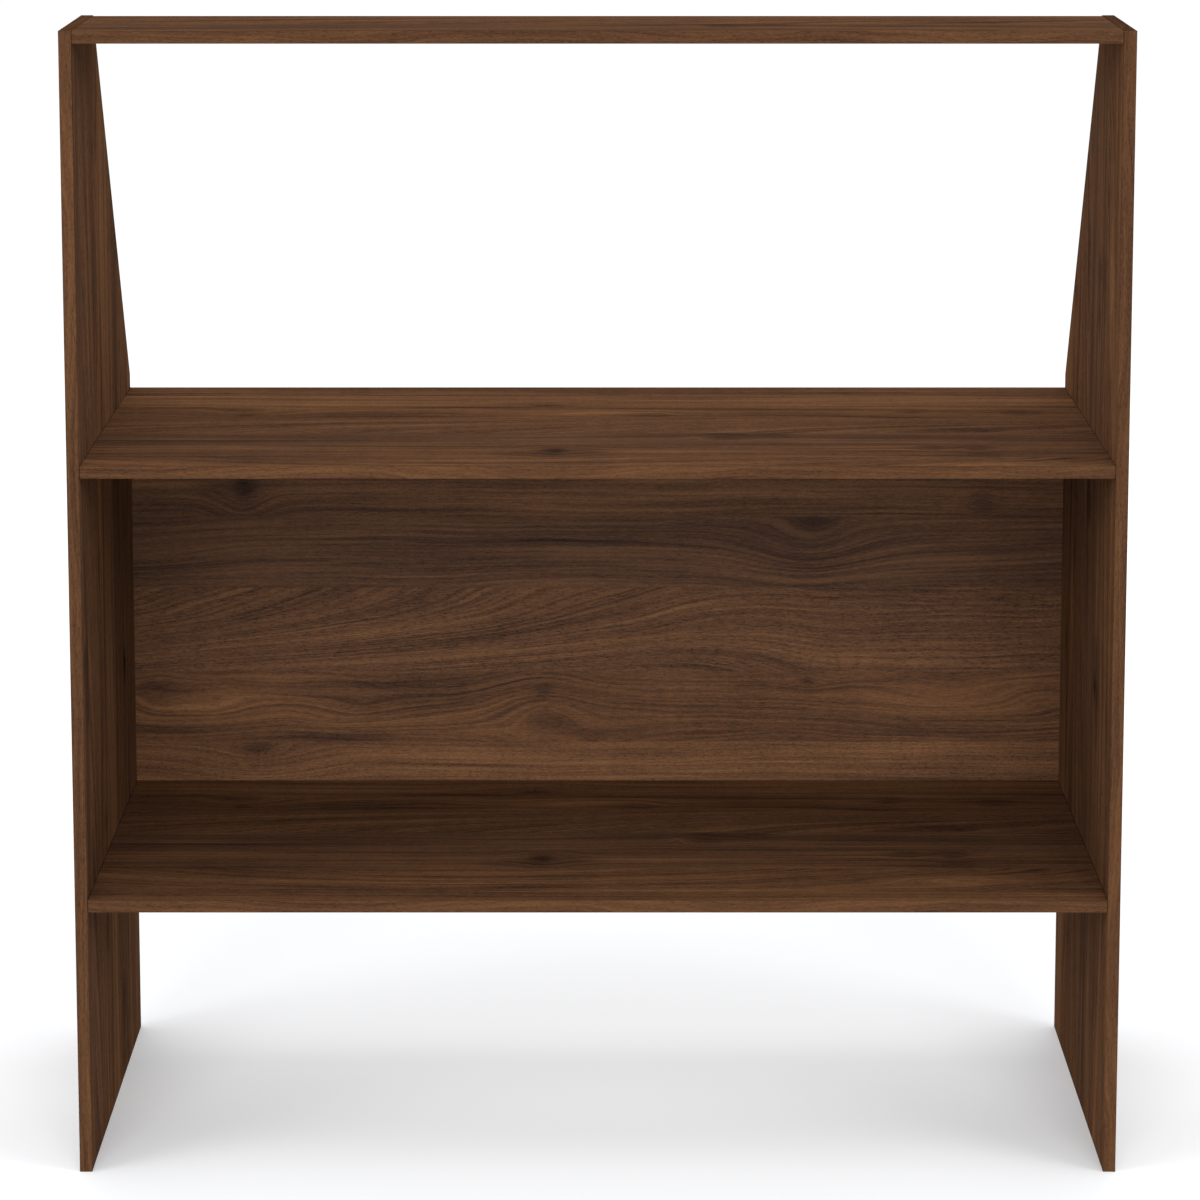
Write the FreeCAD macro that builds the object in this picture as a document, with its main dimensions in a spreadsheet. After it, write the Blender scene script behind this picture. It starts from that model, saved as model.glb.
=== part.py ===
"""Sloped ceiling shelf: an open bookcase of thin boards whose side panels are cut back along a slope.

X is the width, -Y is the front, +Z is up. The origin is on the floor, under the middle of the object.
All lengths are in millimetres.
"""
import FreeCAD, Part
import os
import Sketcher

# Driving dimensions
DIMENSIONS = {
    # Outside of the object
    "overall_width": 1000,
    "overall_height": 1100,
    "side_depth": 497,  # front to rear of a side panel, without the back panel
    "top_depth": 200,  # front to rear of a side panel along its top edge
    "rear_edge_height": 705,  # upright rear edge, up to where the slope starts
    # Boards
    "board_thickness": 12,
    "band_thickness": 1,  # strips glued on the cut edges
    "band_easing": 0.5,  # radius on a strip's long outer edges
    "lower_shelf_height": 258,  # floor to the underside
    "middle_shelf_height": 679,  # floor to the underside
    "top_board_setback": 10,  # rear edge in front of the side panels' top rear corner
    "back_thickness": 3,
    "back_reveal": 1,  # back panel's edges inside the outer faces that it covers
    # Cam locks and their bolts
    "cam_diameter": 12,
    "cam_depth": 9.5,  # pocket in a board's underside
    "cam_inset": 24,  # board's end to the cam's axis
    "cam_edge": 69,  # shelf's front or rear edge to the nearest cam's axis
    "cam_wall": 2.4,
    "cam_recess_length": 6,
    "bolt_hole_depth": 8.5,  # in a side panel
    "bolt_thread_diameter": 5,
    "bolt_shank_diameter": 6,
    "bolt_neck_diameter": 3,
    "bolt_head_diameter": 5,
    "bolt_head_length": 2.5,
    # Dowels
    "dowel_diameter": 6,
    "dowel_length": 25,
    "dowel_side_depth": 8,  # hole in a side panel
    "dowel_edge": 37,  # board's front or rear edge to the nearest dowel's axis
    "dowel_chamfer": 0.8,
    "flute_diameter": 0.8,
    # Back panel screws
    "screw_diameter": 3,
    "screw_length": 16,
    "screw_head_diameter": 5.6,
    "screw_point_length": 4,
    "screw_end_distance": 30,  # shelf's end to the nearest screw
    "screw_recess_length": 3.4,
    # Shared by the fittings
    "recess_width": 1,  # arms of the cross recesses
    "recess_depth": 1.2,
    "fit_clearance": 0.05,  # between a fitting and its hole, on the radius
    "free_clearance": 0.4,  # beyond the end of a fitting and inside a cam
}
FLUTES = 8
SCREWS_ALONG_SHELF = 5
SCREWS_UP_SIDE = 2

doc = FreeCAD.newDocument("SlopedCeilingShelf")
sheet = doc.addObject("Spreadsheet::Sheet", "dims")
for row, (alias, number) in enumerate(DIMENSIONS.items(), start=1):
    sheet.set(f"A{row}", alias)
    sheet.set(f"B{row}", str(number))
    sheet.setAlias(f"B{row}", alias)
doc.recompute()

# Planes and lengths that several pieces share
FRONT = "(-(dims.side_depth + dims.back_thickness) / 2)"
REAR = f"({FRONT} + dims.side_depth)"
OUTER = "(dims.overall_width / 2)"
INNER = "(dims.overall_width / 2 - dims.board_thickness)"
HALF_BOARD = "(dims.board_thickness / 2)"
BAND_FRONT = f"({FRONT} + dims.band_thickness)"
BAND_REAR = f"({REAR} - dims.band_thickness)"
BAND_TOP = "(dims.overall_height - dims.band_thickness)"
SLOPE_RUN = "(dims.side_depth - dims.top_depth)"
SLOPE_RISE = "(dims.overall_height - dims.rear_edge_height)"
SLOPE_LENGTH = f"sqrt({SLOPE_RUN} ^ 2 + {SLOPE_RISE} ^ 2)"
TOP_BOARD_HEIGHT = "(dims.overall_height - dims.board_thickness)"
TOP_BOARD_DEPTH = "(dims.top_depth - dims.top_board_setback)"
SCREW_HOLE = "(dims.screw_diameter + 2 * dims.fit_clearance)"
SCREW_REACH = "(dims.screw_length - dims.back_thickness + dims.free_clearance)"

# Corners of a side panel as (Y, Z): its outside, and the board inside its edge bands
OUTSIDE = {
    "front_bottom": (FRONT, "0"),
    "rear_bottom": (REAR, "0"),
    "slope_foot": (REAR, "dims.rear_edge_height"),
    "slope_head": (f"{FRONT} + dims.top_depth", "dims.overall_height"),
    "front_top": (FRONT, "dims.overall_height"),
}
CORE = {
    "front_bottom": (BAND_FRONT, "dims.band_thickness"),
    "rear_bottom": (BAND_REAR, "dims.band_thickness"),
    "slope_foot": (
        BAND_REAR,
        f"dims.rear_edge_height - dims.band_thickness * ({SLOPE_LENGTH} - {SLOPE_RISE}) / {SLOPE_RUN}",
    ),
    "slope_head": (
        f"{FRONT} + dims.top_depth - dims.band_thickness * ({SLOPE_LENGTH} - {SLOPE_RUN}) / {SLOPE_RISE}",
        BAND_TOP,
    ),
    "front_top": (BAND_FRONT, BAND_TOP),
}

# Horizontal boards: underside, depth, and the places of cams and dowels behind the front edge
SHELF_CAMS = ["dims.cam_edge", "dims.side_depth - dims.cam_edge"]
SHELF_DOWELS = ["dims.dowel_edge", "dims.side_depth / 2", "dims.side_depth - dims.dowel_edge"]
BOARDS = {
    "lower_shelf": ("dims.lower_shelf_height", "dims.side_depth", SHELF_CAMS, SHELF_DOWELS),
    "middle_shelf": ("dims.middle_shelf_height", "dims.side_depth", SHELF_CAMS, SHELF_DOWELS),
    "top_board": (
        TOP_BOARD_HEIGHT,
        TOP_BOARD_DEPTH,
        [f"{TOP_BOARD_DEPTH} / 2"],
        ["dims.dowel_edge", f"{TOP_BOARD_DEPTH} - dims.dowel_edge"],
    ),
}
SHELVES_BEHIND = ["lower_shelf", "middle_shelf"]  # the boards that carry the back panel

PLANE_AXES = {"XY_Plane": "xy", "XZ_Plane": "xz", "YZ_Plane": "yz"}
SAME_POINT = 1e-6  # two points nearer than this are one

pieces = []


def value(expression):
    """The number that an expression of the driving dimensions gives."""
    return float(sheet.evalExpression(expression))


def sketch_on(body, name, plane, level):
    """An empty sketch on one of the body's own planes, moved to a level along the row's axis."""
    sketch = body.newObject("Sketcher::SketchObject", name)
    support = next(f for f in body.Origin.OriginFeatures if f.Role == plane)
    sketch.AttachmentSupport = [(support, "")]
    sketch.MapMode = "FlatFace"
    sign = "-" if plane == "XZ_Plane" else ""
    sketch.setExpression("AttachmentOffset.Base.z", f"{sign}({level})")
    return sketch


def pin_point(sketch, geometry, vertex, place):
    """Ties a point of a sketch to two expressions, measured from the sketch's origin."""
    for kind, expression in zip(("DistanceX", "DistanceY"), place):
        constraint = Sketcher.Constraint(kind, -1, 1, geometry, vertex, value(expression))
        index = sketch.addConstraint(constraint)
        sketch.setExpression(f"Constraints[{index}]", expression)


def draw_outline(sketch, corners):
    """A closed outline of straight edges through the corners."""
    points = [FreeCAD.Vector(value(u), value(v), 0) for u, v in corners]
    following = list(range(1, len(points))) + [0]
    for i, j in enumerate(following):
        sketch.addGeometry(Part.LineSegment(points[i], points[j]), False)
    for i, j in enumerate(following):
        sketch.addConstraint(Sketcher.Constraint("Coincident", i, 2, j, 1))
        pin_point(sketch, i, 1, corners[i])


def draw_circles(sketch, centres, diameter):
    """Circles of one diameter at the given centres."""
    for u, v in centres:
        centre = FreeCAD.Vector(value(u), value(v), 0)
        circle = Part.Circle(centre, FreeCAD.Vector(0, 0, 1), value(diameter) / 2)
        geometry = sketch.addGeometry(circle, False)
        pin_point(sketch, geometry, 3, (u, v))
        index = sketch.addConstraint(Sketcher.Constraint("Diameter", geometry, value(diameter)))
        sketch.setExpression(f"Constraints[{index}]", diameter)


def must_have_cut(body, before, least, name):
    """Stops the build when a cut has missed the solid."""
    removed = before - body.Shape.Volume
    if removed < least:
        raise RuntimeError(f"{name} removed {removed:.2f} mm3, which is under {least:.2f}")


def slab(label, plane, level, corners, thickness, backwards=False):
    """A flat piece: an outline on a plane, given its thickness along the plane's normal."""
    body = doc.addObject("PartDesign::Body", label)
    body.Label = label
    sketch = sketch_on(body, f"{label}_outline", plane, level)
    draw_outline(sketch, corners)
    pad = body.newObject("PartDesign::Pad", f"{label}_pad")
    pad.Profile = sketch
    pad.Reversed = backwards
    pad.setExpression("Length", thickness)
    doc.recompute()
    return body


def edge_band(label, plane, level, corners):
    """A strip as wide as a board's thickness, with the long edges between its first two corners eased."""
    band = slab(label, plane, level, corners, "dims.board_thickness")
    across, up = PLANE_AXES[plane]
    ends = [FreeCAD.Vector(value(u), value(v), 0) for u, v in corners[:2]]
    long_edges = []
    for number, edge in enumerate(band.Shape.Edges, start=1):
        seen = [FreeCAD.Vector(getattr(v.Point, across), getattr(v.Point, up), 0) for v in edge.Vertexes]
        if seen[0].isEqual(seen[-1], SAME_POINT):
            continue
        if all(any(point.isEqual(end, SAME_POINT) for end in ends) for point in seen):
            long_edges.append(f"Edge{number}")
    square, before = band.Tip, band.Shape.Volume
    easing = band.newObject("PartDesign::Fillet", f"{label}_easing")
    easing.Base = (square, long_edges)
    easing.setExpression("Radius", "dims.band_easing")
    doc.recompute()
    length = (ends[1] - ends[0]).Length
    must_have_cut(band, before, length * value("dims.band_easing") ** 2 / 3, f"{label}_easing")
    pieces.append(band)
    return band


def turned(name, plane, profile, axis):
    """A round piece: a half profile turned about one of the sketch's axes."""
    body = doc.addObject("PartDesign::Body", name)
    sketch = sketch_on(body, f"{name}_profile", plane, "0")
    draw_outline(sketch, profile)
    turn = body.newObject("PartDesign::Revolution", f"{name}_turn")
    turn.Profile = sketch
    turn.ReferenceAxis = (sketch, [axis])
    turn.Angle = 360
    doc.recompute()
    return body


def pocket(body, name, sketch, depth, backwards, least):
    """Cuts a sketch's shape into a body to a depth, against the plane's normal unless backwards."""
    before = body.Shape.Volume
    cut = body.newObject("PartDesign::Pocket", name)
    cut.Profile = sketch
    cut.Reversed = backwards
    cut.setExpression("Length", depth)
    doc.recompute()
    must_have_cut(body, before, least, name)
    return cut


def drill(body, name, plane, level, centres, diameter, depth, backwards=False):
    """Blind round holes of one size, which start at a level."""
    sketch = sketch_on(body, f"{name}_centres", plane, level)
    draw_circles(sketch, centres, diameter)
    whole = Part.makeCylinder(value(diameter) / 2, value(depth)).Volume * len(centres)
    return pocket(body, name, sketch, depth, backwards, whole / 3)


def cross_recess(body, name, plane, arm_length, backwards):
    """A cross-shaped driver recess in a face at the level 0."""
    far = f"({arm_length} / 2)"
    near = "(dims.recess_width / 2)"
    quarter = [(far, near), (near, near), (near, far)]
    corners = []
    for _ in range(4):
        corners += quarter
        quarter = [(f"(-{v})", u) for u, v in quarter]
    sketch = sketch_on(body, f"{name}_outline", plane, "0")
    draw_outline(sketch, corners)
    least = value(f"{arm_length} * dims.recess_width * dims.recess_depth")
    pocket(body, name, sketch, "dims.recess_depth", backwards, least)


def group(label, master, places):
    """Copies of one fitting as a group of solids; a place is (X, Y, Z) and a turn about Z in degrees."""
    copies = []
    for spot, turn in places:
        link = doc.addObject("App::Link", f"{label}_copy")
        link.LinkedObject = master
        rotation = FreeCAD.Rotation(FreeCAD.Vector(0, 0, 1), turn)
        link.Placement = FreeCAD.Placement(FreeCAD.Vector(), rotation)
        for axis, expression in zip("xyz", spot):
            link.setExpression(f"Placement.Base.{axis}", expression)
        copies.append(link)
    compound = doc.addObject("Part::Compound", label)
    compound.Label = label
    compound.Links = copies
    pieces.append(compound)


# Where the screws of the back panel are, as (X, Z)
def shelf_screws(board):
    """A row of screws along the middle of a board's rear edge."""
    height = f"{BOARDS[board][0]} + {HALF_BOARD}"
    reach = f"({INNER} - dims.screw_end_distance)"
    middle = (SCREWS_ALONG_SHELF - 1) / 2
    return [(f"{reach} * {(i - middle) / middle}", height) for i in range(SCREWS_ALONG_SHELF)]


def side_screws(sign):
    """A column of screws up the middle of a side panel's rear edge, between the two shelves."""
    across = f"{sign} * ({OUTER} - {HALF_BOARD})"
    bottom = "(dims.lower_shelf_height + dims.board_thickness)"
    clear = f"(dims.middle_shelf_height - {bottom})"
    shares = [(i + 1) / (SCREWS_UP_SIDE + 1) for i in range(SCREWS_UP_SIDE)]
    return [(across, f"{bottom} + {clear} * {share}") for share in shares]


# Side panels with their edge bands
def side_panel(side, sign):
    """A five-sided board with bolt and dowel holes in its inner face."""
    outer_start = f"-{OUTER}" if sign < 0 else INNER
    inner_face = f"{sign} * {INNER}"
    panel = slab(f"{side}_side_panel", "YZ_Plane", outer_start, list(CORE.values()), "dims.board_thickness")
    for board, (underside, _, cams, dowels) in BOARDS.items():
        axis_height = f"{underside} + {HALF_BOARD}"
        bolts = [(f"{FRONT} + {place}", axis_height) for place in cams]
        pins = [(f"{FRONT} + {place}", axis_height) for place in dowels]
        name = f"{side}_{board}"
        drill(panel, f"{name}_bolt_holes", "YZ_Plane", inner_face, bolts,
              "dims.bolt_thread_diameter", "dims.bolt_hole_depth", sign > 0)
        drill(panel, f"{name}_dowel_holes", "YZ_Plane", inner_face, pins,
              "dims.dowel_diameter", "dims.dowel_side_depth", sign > 0)
    drill(panel, f"{side}_screw_holes", "XZ_Plane", BAND_REAR, side_screws(sign),
          SCREW_HOLE, f"{SCREW_REACH} - dims.band_thickness", True)
    pieces.append(panel)
    side_bands(side, sign, outer_start)


def side_bands(side, sign, outer_start):
    """The five strips round a side panel, mitred where they meet at the slope."""
    outlines = {
        "front": [OUTSIDE["front_bottom"], OUTSIDE["front_top"], (BAND_FRONT, "dims.overall_height"),
                  (BAND_FRONT, "0")],
        "top": [(BAND_FRONT, "dims.overall_height"), OUTSIDE["slope_head"], CORE["slope_head"],
                CORE["front_top"]],
        "slope": [OUTSIDE["slope_head"], OUTSIDE["slope_foot"], CORE["slope_foot"], CORE["slope_head"]],
        "rear": [OUTSIDE["slope_foot"], OUTSIDE["rear_bottom"], (BAND_REAR, "0"), CORE["slope_foot"]],
        "bottom": [(BAND_FRONT, "0"), (BAND_REAR, "0"), CORE["rear_bottom"], CORE["front_bottom"]],
    }
    for edge, corners in outlines.items():
        band = edge_band(f"{side}_{edge}_edge_band", "YZ_Plane", outer_start, corners)
        if edge == "rear":
            drill(band, f"{side}_band_screw_holes", "XZ_Plane", REAR, side_screws(sign),
                  SCREW_HOLE, "dims.band_thickness", True)


# Top board and shelves with their edge bands
def horizontal_board(label):
    """A board between the side panels, bored at both ends and underneath for its fittings."""
    underside, depth, cams, dowels = BOARDS[label]
    rear = f"({FRONT} + {depth})"
    band_rear = f"({rear} - dims.band_thickness)"
    axis_height = f"{underside} + {HALF_BOARD}"
    board = slab(label, "XY_Plane", underside, rectangle(BAND_FRONT, band_rear), "dims.board_thickness")
    cam_places = [(f"-{INNER} + dims.cam_inset", f"{FRONT} + {place}") for place in cams]
    bolt_places = [(f"{FRONT} + {place}", axis_height) for place in cams]
    dowel_places = [(f"{FRONT} + {place}", axis_height) for place in dowels]
    dowel_bore = "dims.dowel_length - dims.dowel_side_depth + 2 * dims.free_clearance"
    left_end = f"-{INNER}"
    bores = [
        drill(board, f"{label}_cam_pockets", "XY_Plane", underside, cam_places,
              "dims.cam_diameter", "dims.cam_depth", True),
        drill(board, f"{label}_bolt_bores", "YZ_Plane", left_end, bolt_places,
              "dims.bolt_shank_diameter", "dims.cam_inset", True),
        drill(board, f"{label}_dowel_bores", "YZ_Plane", left_end, dowel_places,
              "dims.dowel_diameter", dowel_bore, True),
    ]
    mirror_bores(board, f"{label}_right_end", bores)
    pieces.append(board)
    edge_band(f"{label}_front_edge_band", "XY_Plane", underside, rectangle(FRONT, BAND_FRONT))
    rear_band = edge_band(f"{label}_rear_edge_band", "XY_Plane", underside, rectangle(rear, band_rear))
    if label in SHELVES_BEHIND:
        drill(board, f"{label}_screw_holes", "XZ_Plane", band_rear, shelf_screws(label),
              SCREW_HOLE, f"{SCREW_REACH} - dims.band_thickness", True)
        drill(rear_band, f"{label}_band_screw_holes", "XZ_Plane", rear, shelf_screws(label),
              SCREW_HOLE, "dims.band_thickness", True)


def rectangle(front, rear):
    """The corners of a strip between the side panels, from one depth to another."""
    return [(f"-{INNER}", front), (INNER, front), (INNER, rear), (f"-{INNER}", rear)]


def mirror_bores(board, name, bores):
    """Repeats the bores of the left end at the right end."""
    before = board.Shape.Volume
    mirror = board.newObject("PartDesign::Mirrored", name)
    mirror.Originals = bores
    middle = next(f for f in board.Origin.OriginFeatures if f.Role == "YZ_Plane")
    mirror.MirrorPlane = (middle, [""])
    board.Tip = mirror
    doc.recompute()
    must_have_cut(board, before, value("dims.cam_depth * dims.cam_diameter ^ 2") / 2, name)


# Back panel
def back_panel():
    """A thin board on the rear edges, with countersunk holes for its screws."""
    across = f"({OUTER} - dims.back_reveal)"
    bottom = "dims.lower_shelf_height + dims.back_reveal"
    top = "dims.middle_shelf_height + dims.board_thickness - dims.back_reveal"
    corners = [(f"-{across}", bottom), (across, bottom), (across, top), (f"-{across}", top)]
    panel = slab("back_panel", "XZ_Plane", REAR, corners, "dims.back_thickness", True)
    sketch = sketch_on(panel, "back_panel_screw_centres", "XZ_Plane", f"{REAR} + dims.back_thickness")
    draw_circles(sketch, screw_places(), SCREW_HOLE)
    before = panel.Shape.Volume
    hole = panel.newObject("PartDesign::Hole", "back_panel_screw_holes")
    hole.Profile = sketch
    doc.recompute()
    hole.Reversed = True
    hole.DepthType = "ThroughAll"
    hole.HoleCutType = "Countersink"
    hole.HoleCutCustomValues = True
    hole.HoleCutCountersinkAngle = 90
    hole.setExpression("Diameter", SCREW_HOLE)
    hole.setExpression("HoleCutDiameter", "dims.screw_head_diameter + 2 * dims.fit_clearance")
    doc.recompute()
    straight = value(f"dims.back_thickness * {SCREW_HOLE} ^ 2") / 2
    must_have_cut(panel, before, straight * len(screw_places()), "back_panel_screw_holes")
    pieces.append(panel)


def screw_places():
    """All screws of the back panel, as (X, Z)."""
    rows = [shelf_screws(board) for board in SHELVES_BEHIND]
    columns = [side_screws(sign) for sign in (-1, 1)]
    return [place for line in rows + columns for place in line]


# Fittings
def cam_lock():
    """A cup with a slot for the bolt's neck, an entry for its head and a cross recess in its face.

    Its axis is Z and its face is at the level 0. The bolt comes in along X from the left.
    """
    radius = "(dims.cam_diameter / 2 - dims.fit_clearance)"
    height = "(dims.cam_depth - dims.free_clearance)"
    cup_radius = f"({radius} - dims.cam_wall)"
    head_room = "(dims.bolt_head_diameter + 2 * dims.free_clearance)"
    neck_room = "(dims.bolt_neck_diameter + 2 * dims.free_clearance)"
    floor = f"({HALF_BOARD} - {head_room} / 2 - dims.free_clearance)"
    profile = [("0", "0"), (radius, "0"), (radius, height), (cup_radius, height), (cup_radius, floor),
               ("0", floor)]
    cam = turned("cam_lock", "XZ_Plane", profile, "V_Axis")
    before = cam.Shape.Volume
    sketch = sketch_on(cam, "cam_slot_section", "XZ_Plane", "0")
    low = f"({HALF_BOARD} - {neck_room} / 2)"
    high = f"({HALF_BOARD} + {neck_room} / 2)"
    past = f"(-{radius} - dims.free_clearance)"
    inside = f"(-{cup_radius} + dims.free_clearance)"
    draw_outline(sketch, [(past, low), (inside, low), (inside, high), (past, high)])
    slot = cam.newObject("PartDesign::Groove", "cam_slot")
    slot.Profile = sketch
    slot.ReferenceAxis = (sketch, ["V_Axis"])
    slot.Angle = 180
    slot.Midplane = True
    doc.recompute()
    must_have_cut(cam, before, value(f"{neck_room} * dims.cam_wall * {radius}"), "cam_slot")
    drill(cam, "cam_entry", "XZ_Plane", f"-{radius} - dims.free_clearance", [("0", HALF_BOARD)],
          head_room, "dims.cam_wall + 2 * dims.free_clearance")
    cross_recess(cam, "cam_recess", "XY_Plane", "dims.cam_recess_length", True)
    return cam


def cam_bolt():
    """Thread, shank, neck and head along X, with the side panel's inner face at 0."""
    thread = "(dims.bolt_thread_diameter / 2 - dims.fit_clearance)"
    shank = "(dims.bolt_shank_diameter / 2 - dims.fit_clearance)"
    neck = "(dims.bolt_neck_diameter / 2)"
    head = "(dims.bolt_head_diameter / 2)"
    tip = "(dims.free_clearance - dims.bolt_hole_depth)"
    shoulder = "(dims.cam_inset - dims.cam_diameter / 2 - dims.free_clearance)"
    head_start = "(dims.cam_inset - dims.cam_diameter / 2 + 2 * dims.fit_clearance + dims.cam_wall)"
    head_end = f"({head_start} + dims.bolt_head_length)"
    taper = f"({thread} / 2)"
    profile = [(tip, "0"), (tip, taper), (f"{tip} + {taper}", thread), ("0", thread), ("0", shank),
               (shoulder, shank), (shoulder, neck), (head_start, neck), (head_start, head),
               (head_end, head), (head_end, "0")]
    return turned("cam_bolt", "XZ_Plane", profile, "H_Axis")


def dowel():
    """A fluted round pin along X with eased ends, with the side panel's inner face at 0."""
    radius = "(dims.dowel_diameter / 2 - dims.fit_clearance)"
    eased = f"({radius} - dims.dowel_chamfer)"
    start = "(dims.free_clearance - dims.dowel_side_depth)"
    end = f"({start} + dims.dowel_length)"
    profile = [(start, "0"), (start, eased), (f"{start} + dims.dowel_chamfer", radius),
               (f"{end} - dims.dowel_chamfer", radius), (end, eased), (end, "0")]
    pin = turned("dowel", "XZ_Plane", profile, "H_Axis")
    before = pin.Shape.Volume
    past = f"{start} - dims.dowel_chamfer"
    flute_length = "dims.dowel_length + 2 * dims.dowel_chamfer"
    sketch = sketch_on(pin, "flute_section", "YZ_Plane", past)
    draw_circles(sketch, [("0", radius)], "dims.flute_diameter")
    section = value("dims.flute_diameter ^ 2 * dims.dowel_length") / 4
    flute = pocket(pin, "flute", sketch, flute_length, True, section)
    flutes = pin.newObject("PartDesign::PolarPattern", "flutes")
    flutes.Originals = [flute]
    flutes.Axis = (sketch, ["N_Axis"])
    flutes.Angle = 360
    flutes.Occurrences = FLUTES
    pin.Tip = flutes
    doc.recompute()
    must_have_cut(pin, before, section * FLUTES, "flutes")
    return pin


def back_screw():
    """A countersunk screw that points along -Y, with its face at 0 and a cross recess in it."""
    shank = "(dims.screw_diameter / 2)"
    head = "(dims.screw_head_diameter / 2)"
    profile = [("0", "0"), (head, "0"), (shank, f"{shank} - {head}"),
               (shank, "dims.screw_point_length - dims.screw_length"), ("0", "-dims.screw_length")]
    screw = turned("back_screw", "XY_Plane", profile, "V_Axis")
    cross_recess(screw, "screw_recess", "XZ_Plane", "dims.screw_recess_length", True)
    return screw


def fittings_of(label, cam, bolt, pin):
    """The cams, bolts and dowels at both ends of a board."""
    underside, _, cams, dowels = BOARDS[label]
    axis_height = f"{underside} + {HALF_BOARD}"
    spots = {"cam_locks": [], "cam_bolts": [], "dowels": []}
    for sign, turn in ((-1, 0), (1, 180)):
        face = f"{sign} * {INNER}"
        for place in cams:
            behind = f"{FRONT} + {place}"
            spots["cam_locks"].append(((f"{sign} * ({INNER} - dims.cam_inset)", behind, underside), turn))
            spots["cam_bolts"].append(((face, behind, axis_height), turn))
        for place in dowels:
            spots["dowels"].append(((face, f"{FRONT} + {place}", axis_height), turn))
    for kind, master in (("cam_locks", cam), ("cam_bolts", bolt), ("dowels", pin)):
        group(f"{label}_{kind}", master, spots[kind])


for side, sign in (("left", -1), ("right", 1)):
    side_panel(side, sign)
for label in BOARDS:
    horizontal_board(label)
back_panel()
fittings = cam_lock(), cam_bolt(), dowel()
for label in BOARDS:
    fittings_of(label, *fittings)
rear_face = f"{REAR} + dims.back_thickness"
group("back_panel_screws", back_screw(), [((x, rear_face, z), 0) for x, z in screw_places()])
doc.recompute()

# Every object has to be sound before anything is written
failed = [o.Label for o in doc.Objects if {"Invalid", "Error"} & set(o.State)]
unsound = [p.Label for p in pieces if p.Shape.isNull() or not p.Shape.isValid() or not p.Shape.Solids]
if failed or unsound:
    raise RuntimeError(f"failed: {failed}; unsound: {unsound}")

os.makedirs("parts", exist_ok=True)
for piece in pieces:
    piece.Shape.exportStep(f"parts/{piece.Label}.step")
    box = piece.Shape.BoundBox
    print(f"{piece.Label}: {len(piece.Shape.Solids)} solid(s), {piece.Shape.Volume:.1f} mm3,",
          f"X {box.XMin:.1f} to {box.XMax:.1f}, Y {box.YMin:.1f} to {box.YMax:.1f},",
          f"Z {box.ZMin:.1f} to {box.ZMax:.1f}")
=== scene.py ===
# %% [markdown]
# # Dressing a sloped ceiling shelf
# The shelf is a flat-pack bookcase of thin boards with a printed walnut decor. Strips are glued on the cut
# edges, and cam locks, bolts, dowels and screws hold it together. The CAD model has every one of these pieces
# at its real size, so this lesson adds no shape to the object. It makes the finishes, and then the floor, the
# light and the camera that show them.

import math
from collections import namedtuple

import bpy
import numpy as np
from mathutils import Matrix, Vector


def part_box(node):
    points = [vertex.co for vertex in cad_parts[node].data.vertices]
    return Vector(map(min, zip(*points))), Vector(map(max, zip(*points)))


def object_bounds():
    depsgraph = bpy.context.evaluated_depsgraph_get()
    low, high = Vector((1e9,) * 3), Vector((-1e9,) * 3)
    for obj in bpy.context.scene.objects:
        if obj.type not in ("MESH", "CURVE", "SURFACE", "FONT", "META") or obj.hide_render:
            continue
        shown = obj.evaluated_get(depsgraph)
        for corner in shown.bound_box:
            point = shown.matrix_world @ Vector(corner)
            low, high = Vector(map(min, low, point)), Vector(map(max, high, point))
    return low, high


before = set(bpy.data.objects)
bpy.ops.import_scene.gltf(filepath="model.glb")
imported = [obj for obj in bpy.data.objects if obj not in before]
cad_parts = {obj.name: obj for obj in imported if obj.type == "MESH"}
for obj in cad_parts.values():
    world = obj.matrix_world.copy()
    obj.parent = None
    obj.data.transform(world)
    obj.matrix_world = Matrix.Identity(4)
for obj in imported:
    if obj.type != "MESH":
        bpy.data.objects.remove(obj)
cad_low, cad_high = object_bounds()
scene = bpy.context.scene
MM = 0.001
print(f"{len(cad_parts)} CAD pieces, from {tuple(cad_low)} to {tuple(cad_high)}")

# %% [markdown]
# ## Arithmetic on sockets
# A wood figure is a long formula. It could be wired by hand in the shader editor, but it is easier to read as an
# expression than as a page of nodes. The first class below wraps the output of a node, so that plus, minus, times
# and the like add Math nodes by themselves. The second class has the one method that makes every other node: it
# sets the node's settings first and then its sockets.


# %% A varying amount
class Amount:
    """A node's output. Python's operators work on it, and each one adds a Math node to the same finish."""

    def __init__(self, finish, socket):
        self.finish = finish
        self.socket = socket

    def math(self, operation, *terms):
        return self.finish.node("Math", {"operation": operation}, dict(enumerate(terms)))

    def __add__(self, other):
        return self.math("ADD", self, other)

    def __radd__(self, other):
        return self.math("ADD", other, self)

    def __sub__(self, other):
        return self.math("SUBTRACT", self, other)

    def __rsub__(self, other):
        return self.math("SUBTRACT", other, self)

    def __mul__(self, other):
        return self.math("MULTIPLY", self, other)

    def __rmul__(self, other):
        return self.math("MULTIPLY", other, self)

    def __truediv__(self, other):
        return self.math("DIVIDE", self, other)

    def __rtruediv__(self, other):
        return self.math("DIVIDE", other, self)

    def __pow__(self, other):
        return self.math("POWER", self, other)

    def __rpow__(self, other):
        return self.math("POWER", other, self)

    def __gt__(self, other):
        return self.math("GREATER_THAN", self, other)

    def __lt__(self, other):
        return self.math("LESS_THAN", self, other)


print("sockets can be added, multiplied and compared like numbers")


# %% The nodes of a finish
def set_stops(ramp, stops):
    """Gives a colour ramp its stops; a string in front of them names the interpolation."""
    ramp.interpolation, *places = stops
    while len(ramp.elements) < len(places):
        ramp.elements.new(1.0)
    for element, (position, colour) in zip(ramp.elements, places):
        element.position = position
        element.color = colour


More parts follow.
